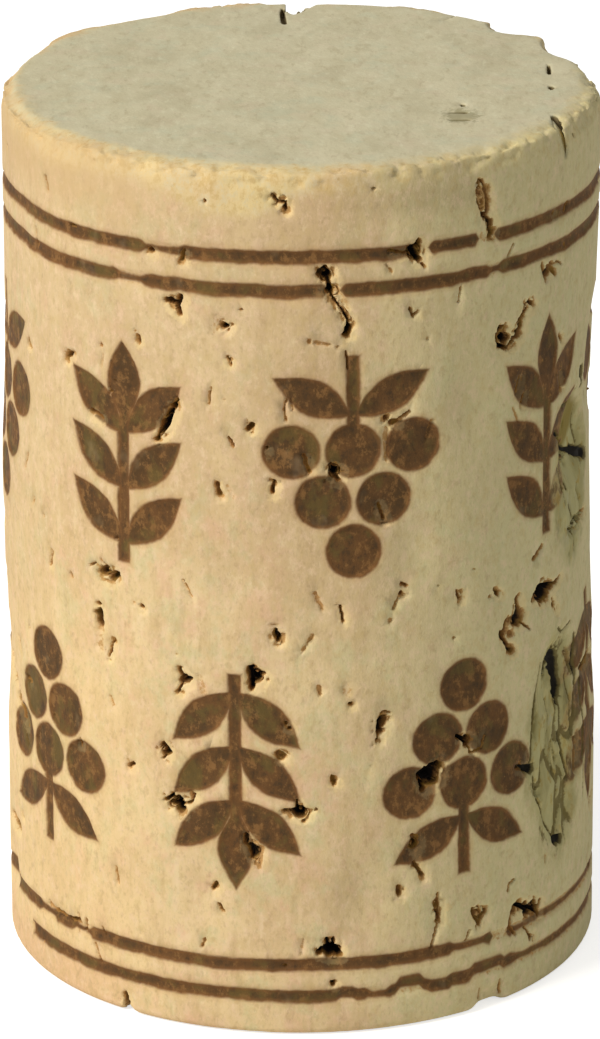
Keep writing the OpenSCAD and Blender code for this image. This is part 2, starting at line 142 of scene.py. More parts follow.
# Tears in the front of the bark, each as (width, depth, [(angle, height), ...]). Angles run
# from the front towards +X. One point makes a hole, and more points make a crack.
TEARS = [
    # Above the upper motifs
    (0.14, 0.5, [(-4.8, 36.4), (-3.6, 36.1), (-2.4, 36.15), (-2.3, 35.8)]), (0.2, 0.6, [(-2.6, 35.9)]),
    (0.25, 0.3, [(-55, 35.6), (-54.3, 35.1)]), (0.2, 0.3, [(-17.3, 36.1)]),
    (0.25, 0.3, [(-47.2, 34.0), (-46.4, 34.0)]), (0.3, 0.5, [(-28.6, 33.7)]),
    (0.2, 0.4, [(-21.8, 33.9), (-22.2, 33.5)]), (0.3, 0.6, [(-25.2, 31.75), (-23.4, 31.6)]),
    (0.3, 0.6, [(-22.4, 31.95), (-23.2, 31.5), (-22.6, 31.2)]), (0.3, 0.7, [(-14, 30.85), (-13.5, 30.9)]),
    (0.5, 0.08, [(-15.3, 31.2), (-15.6, 30.7)]), (0.2, 0.2, [(14, 36.6)]),
    (0.14, 0.4, [(35.9, 36.3), (35.3, 35.5), (36.6, 34.8), (38.2, 34.9), (37.6, 35.8), (36.4, 36.3)]),
    (0.5, 0.1, [(36.3, 35.9), (37.2, 35.1)]), (0.35, 0.9, [(37.2, 34.75)]),
    (0.2, 0.5, [(38, 34.6), (38.9, 34.2), (39.2, 33.9), (38.2, 33.8)]),
    (0.16, 0.4, [(17, 33.95), (20, 33.75), (22, 33.85)]),
    (0.3, 0.9, [(22.7, 34.2), (22, 33.8), (22.9, 33.4)]), (0.15, 0.3, [(22.9, 33.4), (24, 33.1)]),
    (0.12, 0.15, [(16.3, 33.4), (17.4, 33.05)]), (0.12, 0.2, [(44.2, 33.25), (42.7, 32.8)]),
    (0.25, 0.6, [(4.8, 33.45), (3.6, 33.15), (5.2, 33.05), (5.6, 32.6)]), (0.4, 1.0, [(5.7, 32.45)]),
    (0.1, 0.6, [(5.9, 32.3), (6.7, 32), (8, 31.6), (9, 31.2), (9.2, 30.8)]),
    (0.36, 1.0, [(9.2, 30.85), (8.8, 30.65)]), (0.4, 0.1, [(6.9, 32.6), (8.7, 31.8)]),
    (0.15, 0.3, [(20.9, 31.45), (21.5, 31.1), (22.5, 31.3)]), (0.2, 0.15, [(5.5, 30.2), (3, 30.3)]),
    (0.1, 0.2, [(31.6, 32), (31, 31.4)]), (0.2, 0.15, [(7, 30.1)]),
    (0.3, 0.25, [(52.6, 31.9), (54, 31.2)]), (0.3, 0.25, [(55.4, 31.8), (57, 31.3)]),
    (0.12, 0.2, [(55, 31.6), (57.4, 31.8), (59, 31.6)]),
    # Among the upper motifs
    (0.22, 0.8, [(42.4, 29.9), (40.2, 29.6), (40.9, 29.1), (43, 28.85), (44.6, 29.1), (46.6, 29.5)]),
    (0.35, 0.7, [(46, 29.3), (47, 29.7)]), (0.6, 0.3, [(42, 29.45)]),
    (0.15, 0.5, [(47, 29.8), (47.3, 30.3), (48.6, 30.6), (50.4, 30.35)]),
    (0.2, 0.25, [(-39.8, 29.3)]), (0.12, 0.1, [(-39.4, 28.9), (-39.9, 28.4)]),
    (0.25, 0.5, [(-49.6, 28.3), (-48.2, 28.5)]), (0.25, 0.3, [(-38, 27.4)]),
    (0.15, 0.2, [(-37, 27.9)]), (0.25, 0.35, [(-43, 26.3), (-41.4, 26.2), (-40.4, 26.1)]),
    (0.1, 0.6, [(-23.3, 27.6), (-24.4, 27.2), (-25.1, 26.8), (-26.6, 26.5), (-27.6, 26), (-28.2, 25.6)]),
    (0.34, 0.8, [(-24.4, 27.2)]), (0.22, 0.7, [(-25, 26.85)]), (0.26, 0.7, [(-26.6, 26.45)]),
    (0.28, 0.8, [(-28.1, 25.7)]), (0.3, 0.12, [(-27.3, 25.4), (-26.6, 24.9)]),
    (0.3, 0.5, [(-9.6, 26.6), (-8.8, 26.75)]), (0.16, 0.3, [(-13.1, 26.2), (-12.3, 25.8)]),
    (0.14, 0.2, [(-2.4, 27.9), (-2.9, 27.5), (-2.5, 27.05)]), (0.14, 0.15, [(-1.6, 27.9), (-1.2, 27.5)]),
    (0.25, 0.4, [(-15.7, 24.1), (-15.2, 23.7)]), (0.3, 0.07, [(-13.6, 24.1), (-12.6, 23.7)]),
    (0.16, 0.5, [(-4.9, 24.4), (-5.1, 23.9)]), (0.22, 0.5, [(5.7, 25.1), (6.2, 24.7), (7.3, 24.4)]),
    (0.2, 0.2, [(4.6, 24.4)]), (0.25, 0.4, [(16.3, 26.9)]), (0.2, 0.3, [(18.8, 26.8), (20.7, 27.1)]),
    (0.3, 0.15, [(16.2, 26.5), (16.2, 25.2)]), (0.2, 0.25, [(-36.8, 21.1)]),
    # Between the two rows of motifs
    (0.12, 0.3, [(-43.6, 19.6), (-42, 19.8), (-40.8, 19.5)]), (0.35, 0.6, [(-40.3, 19.55)]),
    (0.12, 0.3, [(-40.6, 20), (-39.6, 19.8), (-40, 19.6)]), (0.4, 0.6, [(-38.4, 19.3), (-37.2, 19.5)]),
    (0.15, 0.2, [(-41, 19.1), (-38.4, 19.1)]), (0.3, 0.3, [(-48.8, 18.85)]),
    (0.25, 0.1, [(-33, 18.5)]), (0.27, 0.45, [(-31.3, 18.4)]),
    (0.3, 0.4, [(-41.7, 18)]), (0.42, 1.2, [(-41.9, 17.5), (-41.6, 17.2)]),
    (0.55, 0.1, [(-41.5, 16.8), (-41.5, 16.1)]), (0.12, 0.4, [(-38.2, 16.5), (-39.5, 15.8)]),
    (0.15, 0.6, [(-4.7, 18.05), (-4.4, 17.5)]), (0.2, 0.3, [(20.4, 19.6), (19.4, 19.7)]),
    (0.25, 0.5, [(19.3, 19.3)]), (0.16, 0.2, [(18.5, 19.1), (17.6, 18.7)]), (0.3, 0.15, [(17, 18.2)]),
    (0.16, 0.15, [(26.8, 19.4)]), (0.2, 0.1, [(34.6, 19.8)]), (0.2, 0.4, [(31, 18.95), (31.6, 18.6)]),
    (0.25, 0.2, [(38.5, 18.4)]), (0.2, 0.5, [(39.8, 18.6), (41, 18.3)]), (0.16, 0.2, [(30.1, 17)]),
    (0.3, 0.5, [(46, 17.9), (46.5, 17.2), (47.4, 16.9)]), (0.5, 0.7, [(46.6, 17.3), (46.4, 16.8)]),
    (0.12, 0.3, [(47.5, 16.7), (49.6, 16.3)]), (0.3, 0.6, [(43.4, 17.1), (42, 16.5), (43.8, 15.8)]),
    (0.2, 0.5, [(43.6, 15.8), (45, 15.6)]), (0.5, 0.2, [(44.4, 16.4)]),
    (0.3, 0.9, [(50.6, 17.5), (53, 17.95), (55, 17.8), (58, 17.6), (61, 17.8)]),
    (0.8, 1.1, [(54.6, 17.6), (55.6, 17.5)]), (0.3, 0.2, [(51, 19.3), (53.6, 19.7)]),
    # Among the lower motifs
    (0.25, 0.7, [(-23.4, 15.9), (-22.6, 15.5), (-21.2, 15.6)]), (0.12, 0.4, [(-22.6, 15.5), (-24, 14.9)]),
    (0.4, 0.1, [(-19.4, 15.7), (-18.6, 15.1)]), (0.3, 0.9, [(-9.6, 16.3), (-9.3, 15.4)]),
    (0.5, 1.1, [(-9, 15.85)]), (0.2, 0.7, [(-8.6, 15.9), (-7, 16.1)]), (0.2, 0.2, [(-6.2, 15.8)]),
    (0.25, 0.45, [(-2.9, 13.9)]), (0.2, 0.5, [(-2.2, 13.65)]), (0.5, 0.08, [(8.4, 15.5), (8.8, 15.2)]),
    (0.22, 0.5, [(9.4, 14.7)]), (0.14, 0.3, [(16.9, 14.2), (15.6, 14.25), (15.2, 14)]),
    (0.36, 0.7, [(15.2, 13.8), (14.9, 13.4)]), (0.14, 0.4, [(14.8, 13.4), (14.4, 13)]),
    (0.6, 0.5, [(-73.5, 11.6), (-71, 11)]), (0.3, 0.6, [(-70, 11.3), (-68, 10.8)]),
    (0.2, 0.25, [(-68, 10.3), (-67, 10)]),
    (0.3, 0.8, [(-27, 12.45), (-26.2, 12.3)]), (0.14, 0.4, [(-26.4, 12.2), (-27.2, 11.85)]),
    (0.16, 0.15, [(-28.4, 12.3)]), (0.2, 0.4, [(-35, 11.2), (-33.9, 11.35)]),
    (0.24, 0.9, [(31.6, 12.55), (33, 12.3), (33.6, 12.1)]), (0.14, 0.4, [(33.6, 12.1), (34.2, 11.7)]),
    (0.16, 0.25, [(34.4, 11.7), (36.6, 11.8), (37.4, 12.3)]), (0.5, 0.1, [(36, 12.2)]),
    (0.45, 1.2, [(23.3, 11.2), (25, 11.4), (26.8, 11.5)]), (0.8, 1.4, [(24.8, 11.2)]),
    (0.3, 1.0, [(23.6, 10.8), (23.9, 10.5)]), (0.2, 0.8, [(-26.6, 10.05), (-25.2, 10.3), (-24, 10)]),
    (0.45, 0.9, [(-24.2, 10), (-23.9, 9.7)]), (0.14, 0.4, [(-23, 10), (-21.4, 10.1), (-20.7, 10.5)]),
    (0.25, 0.5, [(-3.1, 10.05)]), (0.16, 0.6, [(-2.2, 10.05), (-0.4, 10.15), (0.7, 10.1)]),
    (0.16, 0.6, [(-0.9, 10.5), (-0.6, 9.8)]), (0.2, 0.3, [(0.4, 9.6)]),
    (0.24, 0.6, [(-10.6, 8.9), (-10.7, 8.5)]), (0.16, 0.7, [(-10.7, 8.5), (-9.8, 8.3), (-9.4, 7.9)]),
    (0.2, 0.2, [(-8.9, 7.7), (-8, 7.5), (-7.4, 8.4)]), (0.35, 0.12, [(-8.4, 8.6), (-8.6, 8.1)]),
    (0.2, 0.3, [(20.9, 8.1), (21.8, 8), (22.4, 8.5), (21.4, 8.6)]), (0.3, 0.3, [(22.6, 8.4)]),
    (0.3, 0.5, [(46.2, 10.35), (48.6, 10.2), (48.9, 9.9)]),
    # Below the motifs
    (0.35, 1.1, [(3.4, 3.75), (5, 3.9), (7, 3.6)]), (0.6, 1.3, [(5.4, 3.8), (6, 3.75)]),
    (0.16, 0.8, [(4.6, 4.3), (5.2, 3.9)]), (0.14, 0.8, [(6, 4.3), (5.8, 3.9)]), (0.26, 0.8, [(5.8, 2.3)]),
    (0.14, 0.3, [(26.9, 5.8), (26.1, 5.4), (26.6, 5), (27.2, 4.7), (26.6, 4.3), (26.1, 3.9), (25.4, 3.4)]),
    (0.26, 0.6, [(27.2, 4.75)]), (0.2, 0.2, [(26.8, 5.8)]), (0.26, 0.7, [(34.7, 4.65)]),
    (0.16, 0.4, [(34.8, 4.6), (36.4, 3.9), (38, 4.4)]), (0.28, 0.6, [(38, 4.4)]), (0.3, 0.3, [(36.5, 3.9)]),
    (0.12, 0.3, [(33.8, 3.8), (33.1, 3.4)]), (0.14, 0.25, [(45.2, 5.4), (43.8, 5.3), (43.5, 5)]),
    (0.2, 0.8, [(46.2, 4.2), (48.4, 3.9), (49.2, 3.65), (51, 3.65), (52.8, 3.4), (53.7, 3.8)]),
    (0.36, 1.1, [(48.8, 4), (48.9, 3.6)]), (0.24, 0.9, [(52.4, 3.6), (53.4, 3.2)]),
    (0.25, 0.25, [(44.6, 3.8), (44, 3.3), (45.6, 2.9)]), (0.12, 0.3, [(48.3, 3), (50, 2.5)]),
    (0.3, 0.8, [(50.4, 2.35)]), (0.2, 0.2, [(-19, 4.05), (-19.4, 3.75)]), (0.14, 0.1, [(-32.4, 3.8)]),
    (0.3, 0.25, [(-58, 3.5), (-56, 3.3), (-53, 3.35)]), (0.3, 0.3, [(-51, 3.3), (-48.4, 3.35)]),
    (0.16, 0.3, [(-48.5, 3.7), (-48, 3.4)]), (0.2, 0.3, [(-46.2, 3.6), (-46.6, 3.1)]),
    (0.25, 0.7, [(-36.4, 0.8), (-36.2, 0.4)]), (0.5, 0.7, [(-36.2, 0.2), (-36, -0.2)]),
    (0.2, 0.3, [(-3.2, 3.15)]), (0.12, 0.25, [(36.4, 1.0), (37, 0.2)]),
    (0.12, 0.22, [(41.5, 1.1), (42, 0.3)]),
]

# Crevices in the rough flaw at the right, likewise
CREVICES = [
    # The lower flaw
    (0.9, 1.0, [(61.2, 14.2), (62.4, 13.4), (62.8, 12.6)]), (0.4, 0.8, [(56, 14.1), (58, 13.8), (60, 14.6)]),
    (0.2, 0.5, [(53.4, 14.5), (52, 13), (50.8, 11.6), (50, 10.4)]), (0.5, 0.8, [(49, 10.1), (50.4, 10)]),
    (0.16, 0.45, [(50.8, 9.6), (52, 8.6), (55.6, 7.2), (59.4, 6.2)]), (0.5, 0.7, [(60, 6), (61.6, 6)]),
    (0.2, 0.55, [(62.4, 12.4), (64, 11), (65, 9.6), (66, 8.4)]), (0.3, 0.5, [(62.6, 12.1)]),
    (0.12, 0.35, [(57, 12.6), (58, 11.2), (57.2, 9.8)]), (0.12, 0.35, [(59.6, 10.4), (61, 8.8), (61.6, 7.6)]),
    (0.2, 0.5, [(68, 14.8), (69.4, 13), (69, 11)]), (0.14, 0.4, [(66, 13), (67.4, 11.4), (69, 10)]),
    (0.14, 0.35, [(60.4, 15.6), (63, 15.2), (66, 15.5)]), (0.2, 0.5, [(72, 13), (73.5, 10), (73, 7)]),
    # The upper hollow
    (0.26, 0.7, [(58.4, 24.3), (61, 23.8), (65, 23.2), (70, 22.7), (74, 22.4)]),
    (0.6, 0.8, [(73, 22.5), (79, 21.9)]),
    (0.14, 0.35, [(60.4, 22.8), (62.6, 21.6), (64, 20.8)]), (0.3, 0.5, [(64.6, 21.6), (65.2, 21.4)]),
    (0.18, 0.4, [(61, 25.3), (66, 25.1), (70, 25.5)]), (0.6, 0.8, [(72, 26.1), (73, 25.6)]),
    (0.2, 0.4, [(66, 20.6), (68.4, 19.6), (69, 18.4)]),
]


def value_noise(points, cell, seed):
    """Smooth noise from 0 to 1 at each point, with cells of the given size along X, Y and Z."""
    size = 32
    table = np.random.default_rng(seed).random((size, size, size))
    q = points / np.asarray(cell, float)
    base = np.floor(q).astype(int)
    t = q - base
    t = t * t * (3 - 2 * t)
    total = np.zeros(len(points))
    for corner in np.ndindex(2, 2, 2):
        weight = np.prod(np.where(corner, t, 1 - t), axis=1)
        i, j, k = ((base + corner) % size).T
        total += weight * table[i, j, k]
    return total


def layered_noise(points, cell, seed, layers=3):
    """Value noise with finer and fainter layers on top, still about 0 to 1."""
    total, share = 0.0, 0.0
    for layer in range(layers):
        weight = 0.5**layer
        total = total + weight * value_noise(points, np.asarray(cell) * weight, seed + layer)
        share += weight
    return total / share


def smoothstep(low_edge, high_edge, value):
    t = np.clip((value - low_edge) / (high_edge - low_edge), 0, 1)
    return t * t * (3 - 2 * t)


def side_angle(points):
    """The angle round the side in degrees, from the front at -Y towards +X."""
    return np.degrees(np.arctan2(points[:, 0], -points[:, 1]))


def turned_mesh(piece):
    """The piece's mesh with its modifiers applied."""
    graph = bpy.context.evaluated_depsgraph_get()
    return bpy.data.meshes.new_from_object(piece.evaluated_get(graph))


def vertex_array(mesh):
    points = np.zeros(len(mesh.vertices) * 3, np.float32)
    mesh.vertices.foreach_get("co", points)
    return points.reshape(-1, 3).astype(float)


def fine_copy(node, name):
    """A closed, even, fine copy of a CAD solid, in millimetres, made through voxels."""
    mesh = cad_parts[node].data.copy()
    mesh.transform(Matrix.Scale(1 / MM, 4))
    work = bmesh.new()
    work.from_mesh(mesh)
    bmesh.ops.remove_doubles(work, verts=work.verts, dist=1e-4)
    work.to_mesh(mesh)
    work.free()
    piece = bpy.data.objects.new(name, mesh)
    bpy.context.scene.collection.objects.link(piece)
    remesh = piece.modifiers.new("voxels", "REMESH")
    remesh.mode = "VOXEL"
    remesh.voxel_size = VOXEL
    piece.data = turned_mesh(piece)
    piece.modifiers.clear()
    return piece


class Skin:
    """The fine points of the cork, with their places on the unrolled side."""

    def __init__(self, points):
        self.points = points
        self.radius = np.hypot(points[:, 0], points[:, 1])
        self.angle = side_angle(points)
        self.z = points[:, 2]
        self.on_side = self.radius > RADIUS - 1.8
        self.depth = np.zeros(len(points))

    def across(self, angle, pick=slice(None)):
        """Distance round the side from an angle, in mm."""
        turn = (self.angle[pick] - angle + 180) % 360 - 180
        return np.radians(turn) * RADIUS

    def tear(self, width, deep, route, seed):
        """Sinks a ragged crack or hole into the side, along the route."""
        start = route[0]
        span = max(abs(a - start[0]) for a, _ in route) * math.radians(1) * RADIUS + 2 * width
        rise = max(abs(z - start[1]) for _, z in route) + 2 * width
        near = self.on_side & (np.abs(self.z - start[1]) < rise)
        near[near] = np.abs(self.across(start[0], near)) < span
        if not near.any():
            return
        u, v = self.across(start[0], near), self.z[near] - start[1]
        stops = [(math.radians(a - start[0]) * RADIUS, z - start[1]) for a, z in route]
        gap = np.full(len(u), np.inf)
        for (u0, v0), (u1, v1) in zip(stops, stops[1:] or stops):
            run = (u1 - u0, v1 - v0)
            share = ((u - u0) * run[0] + (v - v0) * run[1]) / max(run[0] ** 2 + run[1] ** 2, 1e-9)
            share = np.clip(share, 0, 1)
            gap = np.minimum(gap, np.hypot(u - u0 - share * run[0], v - v0 - share * run[1]))
        ragged = 0.75 + 0.9 * value_noise(self.points[near], (0.16, 0.16, 0.16), seed)
        reach = gap / (width / 2) * ragged
        sunk = deep * (1 - smoothstep(0.55, 1.25, reach))
        self.depth[near] = np.maximum(self.depth[near], sunk)

    def random_tears(self, count, angles, heights):
        """Scatters small tears over part of the side."""
        for i in range(count):
            angle, z = RNG.uniform(*angles), RNG.uniform(*heights)
            lean, length = RNG.uniform(-1, 1), RNG.choice([0.0, 0.3, 0.7])
            route = [(angle, z), (angle + 3 * lean * length, z + length)]
            self.tear(RNG.uniform(0.1, 0.26), RNG.uniform(0.08, 0.5), route, RANDOM_SEED + i)


def inset(points):
    """How far the bark has shrunk in, in mm, in broad and gentle swells."""
    angle, z = side_angle(points), points[:, 2]
    swell = 0.14 * smoothstep(0.35, 1, layered_noise(points, (5, 5, 9), 1))
    right = np.interp(z, *RIGHT_INSET) * (1 - smoothstep(15, 42, np.abs(angle - 92)))
    left = np.interp(z, *LEFT_INSET) * (1 - smoothstep(15, 40, np.abs(angle + 90)))
    ends = smoothstep(0, 3, z)
    dips = [0.2 * np.exp(-((angle - a) / 5) ** 2 - ((z - h) / 1.6) ** 2) for a, h in DIPS]
    at, wide, tall, deep = CHIP
    dips.append(deep * np.exp(-((angle - at) / wide) ** 4 - (z / tall) ** 4))
    near_side = smoothstep(RADIUS - 0.9, RADIUS - 0.3, np.hypot(points[:, 0], points[:, 1]))
    return swell * ends + (right + left + sum(dips)) * near_side


def blank_depth(points):
    """How far each point lies inside the plain cylinder with its rounded rims, in mm."""
    side_gap = RADIUS - np.hypot(points[:, 0], points[:, 1])
    end_gap = np.minimum(points[:, 2], HEIGHT - points[:, 2])
    corner = RIM_R - np.hypot(np.maximum(RIM_R - side_gap, 0), np.maximum(RIM_R - end_gap, 0))
    return np.where((side_gap < RIM_R) & (end_gap < RIM_R), corner, np.minimum(side_gap, end_gap))


def cell_of(points):
    """The cell of the unrolled side that each point lies in."""
    columns, rows = round(2 * math.pi * RADIUS / GRID), round(HEIGHT / GRID)
    i = ((side_angle(points) + 180) / 360 * columns).astype(int) % columns
    j = np.clip((points[:, 2] / HEIGHT * rows).astype(int), 0, rows - 1)
    return (columns, rows), i, j


def spread(grid, reach, pick=np.maximum):
    """Gives each cell the highest or lowest value within reach, round the side and along it."""
    for axis in (0, 1):
        stack = grid
        for step in range(1, reach + 1):
            for way in (step, -step):
                moved = np.roll(grid, way, axis)
                if axis == 1:
                    moved[:, slice(0, way) if way > 0 else slice(way, None)] = 0
                stack = pick(stack, moved)
        grid = stack
    return grid


def soften(grid, times):
    for _ in range(times):
        for axis in (0, 1):
            grid = (np.roll(grid, 1, axis) + 2 * grid + np.roll(grid, -1, axis)) / 4
    return grid


def near_pores(points, depth, reach, blur, shift=(1, -1)):
    """From 0 to 1, how close each point of the side is to a pore, mostly on its lower right."""
    shape, i, j = cell_of(points)
    deepest = np.zeros(shape)
    on_side = np.hypot(points[:, 0], points[:, 1]) > RADIUS - 2.5
    np.maximum.at(deepest, (i, j), np.where(on_side, depth, 0))
    mask = np.where(deepest > 0.32, 1.0, 0.0)
    return soften(np.roll(spread(mask, reach), shift, (0, 1)), blur)[i, j]


def hollow_depth(skin, blank):
    """How deep the CAD solid's broad hollows and the bites out of its rim are, in mm."""
    bowls = [0 * skin.z]
    for a, h, r, deep in HOLLOWS:
        fall = skin.across(a) ** 2 * (1 / r + 1 / RADIUS) / 2
        bowls.append(deep - fall - (skin.z - h) ** 2 / (2 * r))
    hollow = np.minimum(np.max(bowls, axis=0), blank)
    for a, h, r, deep in RIM_BITES:
        reach, turn = RADIUS - deep + r, math.radians(a)
        centre = (reach * math.sin(turn), -reach * math.cos(turn), h)
        bitten = np.linalg.norm(skin.points - centre, axis=1) < r + 0.15
        hollow = np.where(bitten, blank, hollow)
    return hollow


def kept_pits(skin, pits):
    """How deep the CAD solid's pores and burnt marks still are in the skin, in mm."""
    on_side = smoothstep(RADIUS - 2.5, RADIUS - 1.5, skin.radius)
    # The burnt marks are soft hollows, and crumbs of bark stand in the pores and break their edges
    crumbs = smoothstep(0.28, 0.55, layered_noise(skin.points, (0.24, 0.24, 0.24), 21))
    kept = BURN_KEPT + (1 - BURN_KEPT) * smoothstep(0.18, 0.32, pits)
    kept *= 1 - 0.8 * (1 - crumbs) * smoothstep(0.25, 0.5, pits)
    for a, h, reach, share in CRUMBS:
        near = np.exp(-((skin.across(a) / reach) ** 2 + ((skin.z - h) / reach) ** 2) ** 2)
        kept *= 1 - (1 - share) * near
    x, y, across, along = SPLIT_CRUMBS
    off = ((skin.points[:, 0] - x) / across) ** 2 + ((skin.points[:, 1] - y) / along) ** 2
    in_split = np.exp(-(off**2)) * (skin.z > MIDDLE)
    return pits * (1 - on_side + on_side * kept) * (1 - 0.6 * in_split)


def pores_and_lips(skin, pits):
    """How deep the pores are, and how far the bark beside them has sunk, in mm."""
    points = skin.points
    pores = np.maximum(kept_pits(skin, pits), skin.depth)
    near_side = smoothstep(RADIUS - 1.2, RADIUS - 0.8, skin.radius)
    bites = smoothstep(0.55, 0.75, value_noise(points, (0.24, 0.24, 0.24), 33))
    bites = bites * near_pores(points, pores, 1, 1, (0, 0))
    pores = np.maximum(pores, 0.22 * bites * near_side)
    sunk = 0.09 * near_pores(points, pores, 1, 2) * (1 - smoothstep(0.1, 0.3, pores))
    return pores, sunk * near_side


def rough_bark(skin):
    """The flaws at the right, which were never smooth: their crevices and their plates, in mm."""
    flaw = Skin(skin.points)
    for i, (width, deep, route) in enumerate(CREVICES):
        flaw.tear(width, deep, route, CREVICE_SEED + i)
    inside = 0 * skin.z
    for a, h, wide, tall, core in ROUGH_SHAPES:
        off = np.hypot((skin.angle - a) / wide, (skin.z - h) / tall)
        inside = np.maximum(inside, 1 - smoothstep(core, 1.1, off))
    inside *= smoothstep(RADIUS - 0.9, RADIUS - 0.3, skin.radius)
    plates = layered_noise(skin.points, (0.8, 0.8, 2.0), 9)
    sheets = layered_noise(skin.points, (1.3, 1.3, 4), 10)
    splits = 1 - smoothstep(0.015, 0.06, np.abs(sheets - 0.5))
    return np.maximum(flaw.depth, 0.25 * inside * splits), 0.14 * inside * plates


def rim_wear(skin):
    """How far the crumbly top rim has worn away, in mm."""
    end_gap = np.minimum(skin.z, HEIGHT - skin.z)
    rim = (1 - smoothstep(0.1, 1.0, end_gap)) * (1 - smoothstep(0.1, 1.0, RADIUS - skin.radius))
    rim *= skin.z > MIDDLE
    worn = 0.12 + 0.3 * smoothstep(0.4, 0.8, layered_noise(skin.points, (2.4, 2.4, 1.2), 15))
    crumbs = smoothstep(0.45, 0.75, layered_noise(skin.points, (0.5, 0.5, 0.4), 14))
    return rim * (worn + 0.22 * crumbs)


def wear(points):
    """How far each point of the skin moves inward, and how deep it then lies in a pore or in a
    crevice of the flaws, all in mm."""
    skin = Skin(points)
    for i, (width, deep, route) in enumerate(TEARS):
        skin.tear(width, deep, route, i)
    heights = (0.8, HEIGHT - 0.5)
    skin.random_tears(60, (-75, 75), heights)
    skin.random_tears(220, (75, 285), heights)
    blank = blank_depth(points)
    hollow = hollow_depth(skin, blank)
    pores, lips = pores_and_lips(skin, blank - hollow)
    crevices, plates = rough_bark(skin)
    grain = 0.012 * layered_noise(points, (0.4, 0.4, 1.0), 4)
    depth = hollow + np.maximum(pores, CREVICES_CUT * crevices)
    moved = depth - blank + lips + rim_wear(skin) + inset(points) + grain + plates
    return moved, pores, crevices


def store(piece, name, values):
    """Stores a number on each vertex, for the material."""
    layer = piece.data.attributes.new(name, "FLOAT", "POINT")
    layer.data.foreach_set("value", values.astype(np.float32))


def push_inward(piece):
    """Moves each vertex along its inward direction by its wear, and stores what the wear is."""
    points = vertex_array(piece.data)
    radius = np.hypot(points[:, 0], points[:, 1])
    end_gap = np.minimum(points[:, 2], HEIGHT - points[:, 2])
    inward = np.zeros_like(points)
    along = smoothstep(-1, 1, end_gap - (RADIUS - radius))
    inward[:, :2] = -points[:, :2] / np.maximum(radius, 1e-6)[:, None] * along[:, None]
    inward[:, 2] = (1 - along) * np.sign(MIDDLE - points[:, 2])
    moved, pores, crevices = wear(points)
    store(piece, "pore_depth", pores)
    # The halo lies mostly on each pore's lower right, where the material paints the pores' cream lips and a
    # highlight
    store(piece, "pore_halo", near_pores(points, pores, 1, 4))
    store(piece, "crevice_depth", crevices)
    points += inward * moved[:, None]
    piece.data.vertices.foreach_set("co", points.astype(np.float32).ravel())
    piece.data.update()


def thin_out(piece, triangles):
    """Collapses the mesh where it is flat, down to about this many triangles, the back first."""
    points = vertex_array(piece.data)
    front = 1 - smoothstep(60, 95, np.abs(side_angle(points)))
    halo = np.zeros(len(points), np.float32)
    piece.data.attributes["pore_halo"].data.foreach_get("value", halo)
    weight = front * (0.35 + 0.65 * np.clip(3 * halo, 0, 1))
    group = piece.vertex_groups.new(name="kept")
    for step in range(11):
        chosen = np.nonzero(np.round(weight * 10) == step)[0]
        if len(chosen):
            group.add(chosen.tolist(), step / 10, "REPLACE")
    count = sum(len(p.vertices) - 2 for p in piece.data.polygons)
    collapse = piece.modifiers.new("collapse", "DECIMATE")
    collapse.ratio = triangles / count
    collapse.use_collapse_triangulate = True
    collapse.vertex_group = group.name
    collapse.invert_vertex_group = True
    collapse.vertex_group_factor = 0.002
    piece.data = turned_mesh(piece)
    piece.modifiers.clear()
    piece.vertex_groups.clear()


def make_cork():
    piece = fine_copy("cork", "cork_bark")
    push_inward(piece)
    thin_out(piece, SKIN_TRIANGLES)
    for polygon in piece.data.polygons:
        polygon.use_smooth = True
    piece.data.transform(Matrix.Scale(MM, 4))
    return piece


# ---------------------------------------------------------------- sums in shader nodes
class Sum:
    """A number in a node tree that adds, multiplies and so on by making Math nodes."""

    tree = None

    def __init__(self, socket):
        self.socket = socket

    @classmethod
    def node(cls, operation, *inputs):
        node = cls.tree.nodes.new("ShaderNodeMath")
        node.operation = operation
        for slot, value in zip(node.inputs, inputs):
            if isinstance(value, Sum):
                cls.tree.links.new(value.socket, slot)
            else:
                slot.default_value = float(value)
        return cls(node.outputs[0])

    def __add__(self, other):
        return Sum.node("ADD", self, other)

    def __sub__(self, other):
        return Sum.node("SUBTRACT", self, other)

    def __rsub__(self, other):
        return Sum.node("SUBTRACT", other, self)

    def __mul__(self, other):
        return Sum.node("MULTIPLY", self, other)

    def __truediv__(self, other):
        return Sum.node("DIVIDE", self, other)

    __radd__ = __add__
    __rmul__ = __mul__


def highest(*values):
    total = values[0]
    for value in values[1:]:
        total = Sum.node("MAXIMUM", total, value)
    return total


def lowest(*values):
    total = values[0]
    for value in values[1:]:
        total = Sum.node("MINIMUM", total, value)
    return total


def size_of(value):
    return Sum.node("ABSOLUTE", value)


def length_of(a, b):
    return Sum.node("SQRT", a * a + b * b)


def ramp(value, start, end, first=0.0, last=1.0, smooth=True):
    """The value carried from start..end to first..last, and held there outside."""
    node = Sum.tree.nodes.new("ShaderNodeMapRange")
    node.interpolation_type = "SMOOTHSTEP" if smooth else "LINEAR"
    Sum.tree.links.new(value.socket, node.inputs["Value"])
    for name, number in zip(("From Min", "From Max", "To Min", "To Max"), (start, end, first, last)):
        node.inputs[name].default_value = number
    return Sum(node.outputs["Result"])


def stretched(vector, cell):
    """The position in mm divided by the size of a cell along X, Y and Z."""
    node = Sum.tree.nodes.new("ShaderNodeVectorMath")
    node.operation = "DIVIDE"
    Sum.tree.links.new(vector, node.inputs[0])
    node.inputs[1].default_value = cell
    return node.outputs[0]


